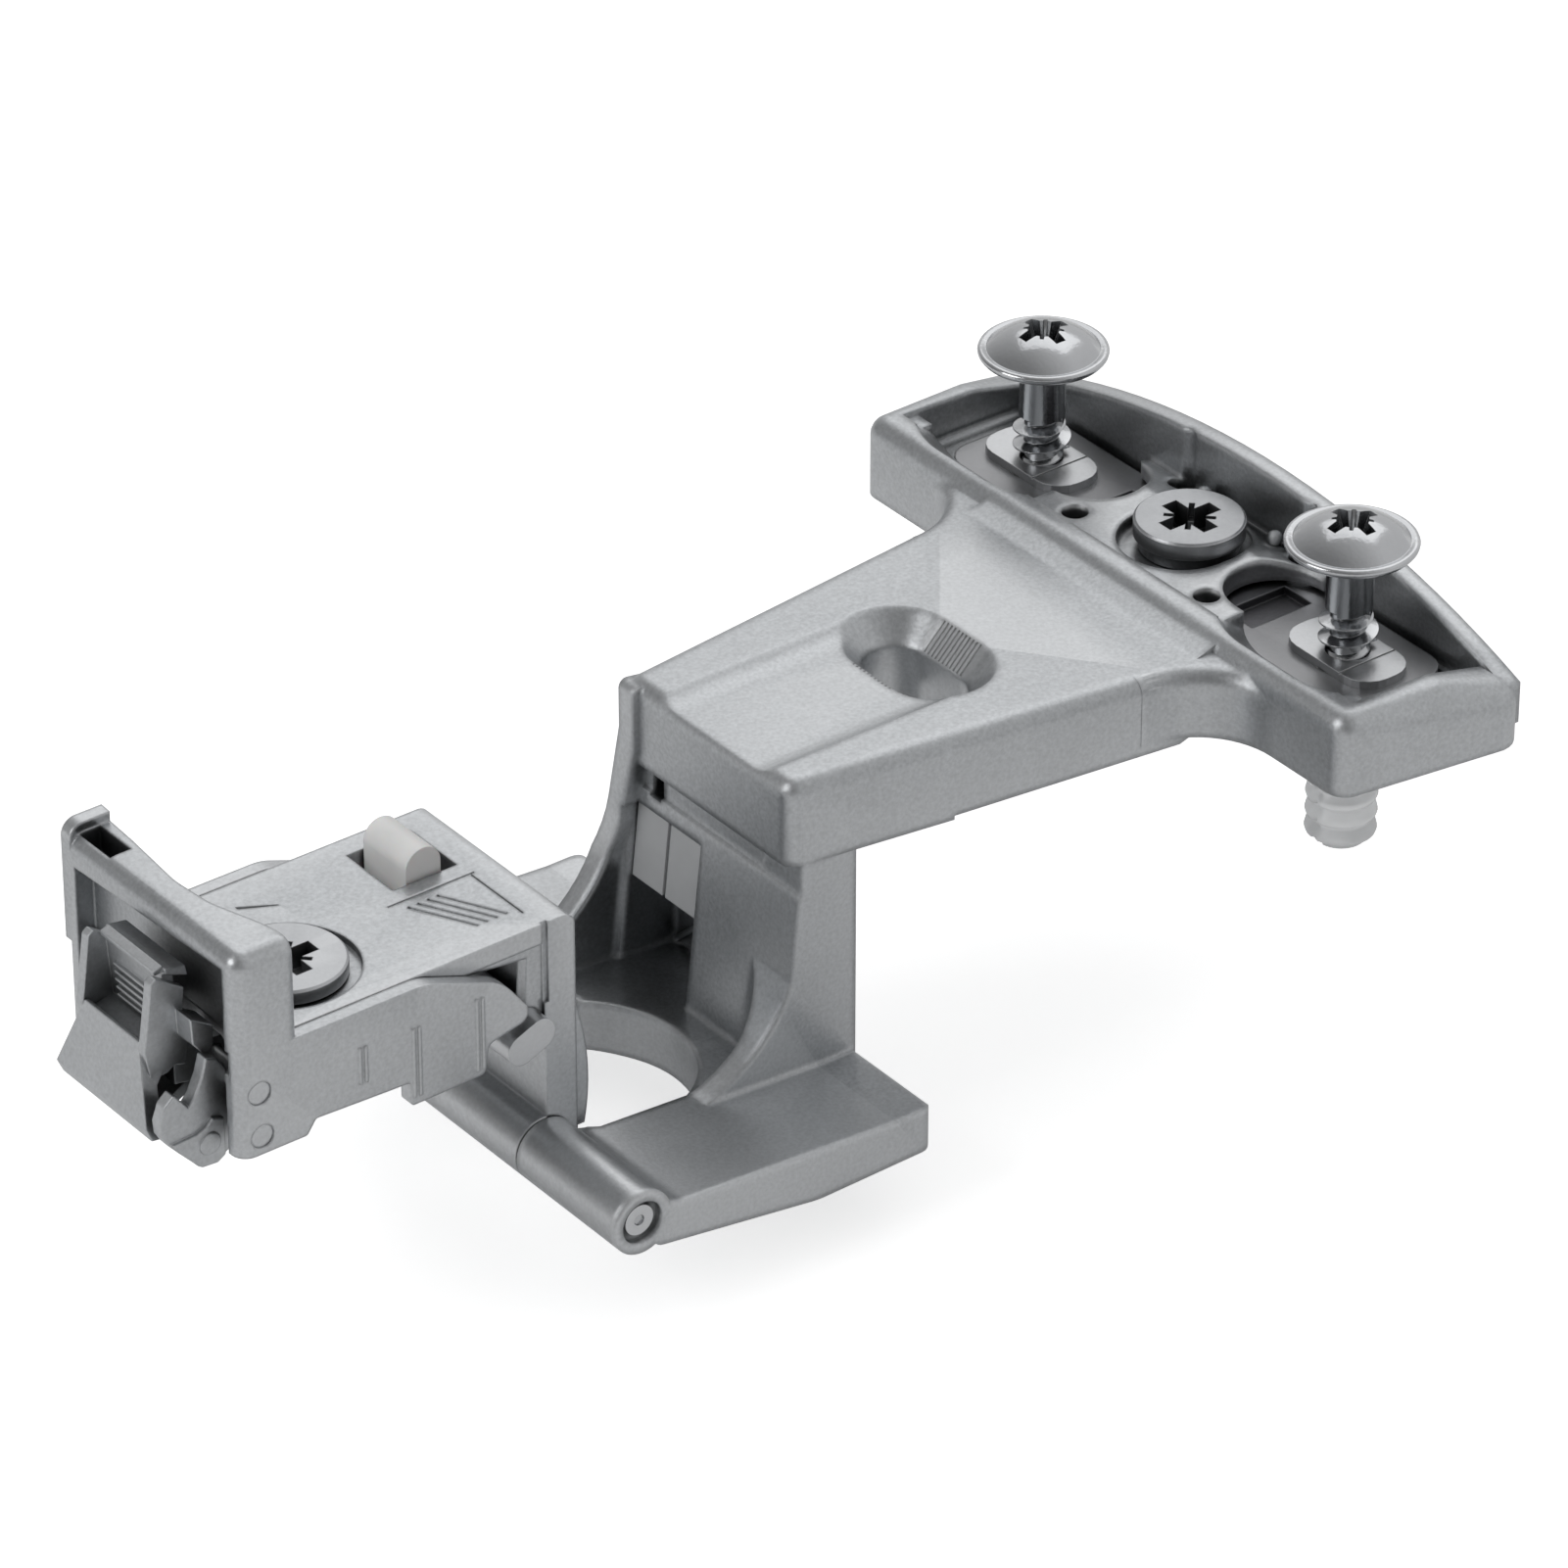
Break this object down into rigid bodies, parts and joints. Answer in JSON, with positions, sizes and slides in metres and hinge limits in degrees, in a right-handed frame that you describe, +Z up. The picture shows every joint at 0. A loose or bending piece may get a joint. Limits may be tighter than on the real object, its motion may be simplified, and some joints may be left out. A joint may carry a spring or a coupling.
{
  "type": "cabinet hinge",
  "caption": "Clip-on cabinet hinge: a T-shaped screw-on bracket carries a cranked arm on a pin, with cam adjusters, spreading dowels and a snap-off release lever.",
  "frame": {"origin": "midway between the two dowel axes, on the underside of the T-head that lies on the board", "axes": "+X from the arm towards the T-head, +Y along the hinge pin and the line of dowels, +Z up, away from the board"},
  "size_m": [0.0933, 0.0538, 0.0348],
  "materials": {
    "cast_metal": "satin nickel plate on a zinc die casting",
    "satin_steel": "satin plated",
    "bright_steel": "smooth plated",
    "spring_steel": "dark spring steel",
    "lever_metal": "satin plated, slightly darker",
    "white_nylon": "smooth",
    "clear_nylon": "translucent, uncoloured",
    "buffer": "soft, smooth"
  },
  "bodies": {
    "bracket_body": {"bracket": "cast_metal", "wall_buffer": "buffer", "hinge_pin": "bright_steel"},
    "carrier_body": {"dowel_carrier": "satin_steel", "dowel_plate_far": "satin_steel", "dowel_plate_near": "satin_steel", "dowel_far": "clear_nylon", "dowel_near": "clear_nylon", "flange_screw_far": "bright_steel", "flange_screw_near": "bright_steel"},
    "height_cam_body": {"height_cam": "satin_steel", "cam_clip": "spring_steel"},
    "leaf_body": {"hinge_leaf": "cast_metal", "stop_bar": "satin_steel"},
    "switch_body": {"switch_lever": "white_nylon"},
    "housing_body": {"arm_housing": "cast_metal", "lever_axle": "bright_steel", "lever_spring": "spring_steel", "catch_axle": "bright_steel"},
    "depth_cam_body": {"depth_cam": "satin_steel", "depth_cam_clip": "spring_steel"},
    "release_body": {"release_lever": "lever_metal"},
    "catch_body": {"catch_claw": "lever_metal"}
  },
  "joints": [
    {"name": "arm_fold", "type": "hinge", "parent": "bracket_body", "child": "leaf_body", "pos_m": [-0.05865, 0, -0.0164], "axis": [0, 1, 0], "range_deg": [-35, 60]},
    {"name": "height_cam_turn", "type": "hinge", "parent": "bracket_body", "child": "height_cam_body", "pos_m": [-0.00025, 0, 0.006], "axis": [0, 0, 1], "range_deg": [-60, 60]},
    {"name": "carrier_slide", "type": "slide", "parent": "bracket_body", "child": "carrier_body", "axis": [0, 1, 0], "range_m": [-0.0015, 0.0015]},
    {"name": "depth_cam_turn", "type": "hinge", "parent": "housing_body", "child": "depth_cam_body", "pos_m": [-0.0741, -0.0002, 0], "axis": [0, 0, 1], "range_deg": [-44.5, 44.5]},
    {"name": "arm_slide", "type": "slide", "parent": "leaf_body", "child": "housing_body", "axis": [1, 0, 0], "range_m": [-0.0007, 0.0007]},
    {"name": "switch_rock", "type": "hinge", "parent": "leaf_body", "child": "switch_body", "pos_m": [-0.06115, 0, -0.0022], "axis": [0, 1, 0], "range_deg": [-12, 12]},
    {"name": "lever_press", "type": "hinge", "parent": "housing_body", "child": "release_body", "pos_m": [-0.081, 0, -0.00235], "axis": [0, 1, 0], "range_deg": [0, 8], "stiffness_Nm_per_rad": 0.02},
    {"name": "catch_turn", "type": "hinge", "parent": "housing_body", "child": "catch_body", "pos_m": [-0.0809, 0, -0.0056], "axis": [0, 1, 0], "range_deg": [0, 3.4]}
  ],
  "couplings": [
    {"joint": "height_cam_turn", "follows": "carrier_slide", "rad_per_m": 698},
    {"joint": "depth_cam_turn", "follows": "arm_slide", "rad_per_m": 1109},
    {"joint": "catch_turn", "follows": "lever_press", "ratio": 0.42}
  ]
}
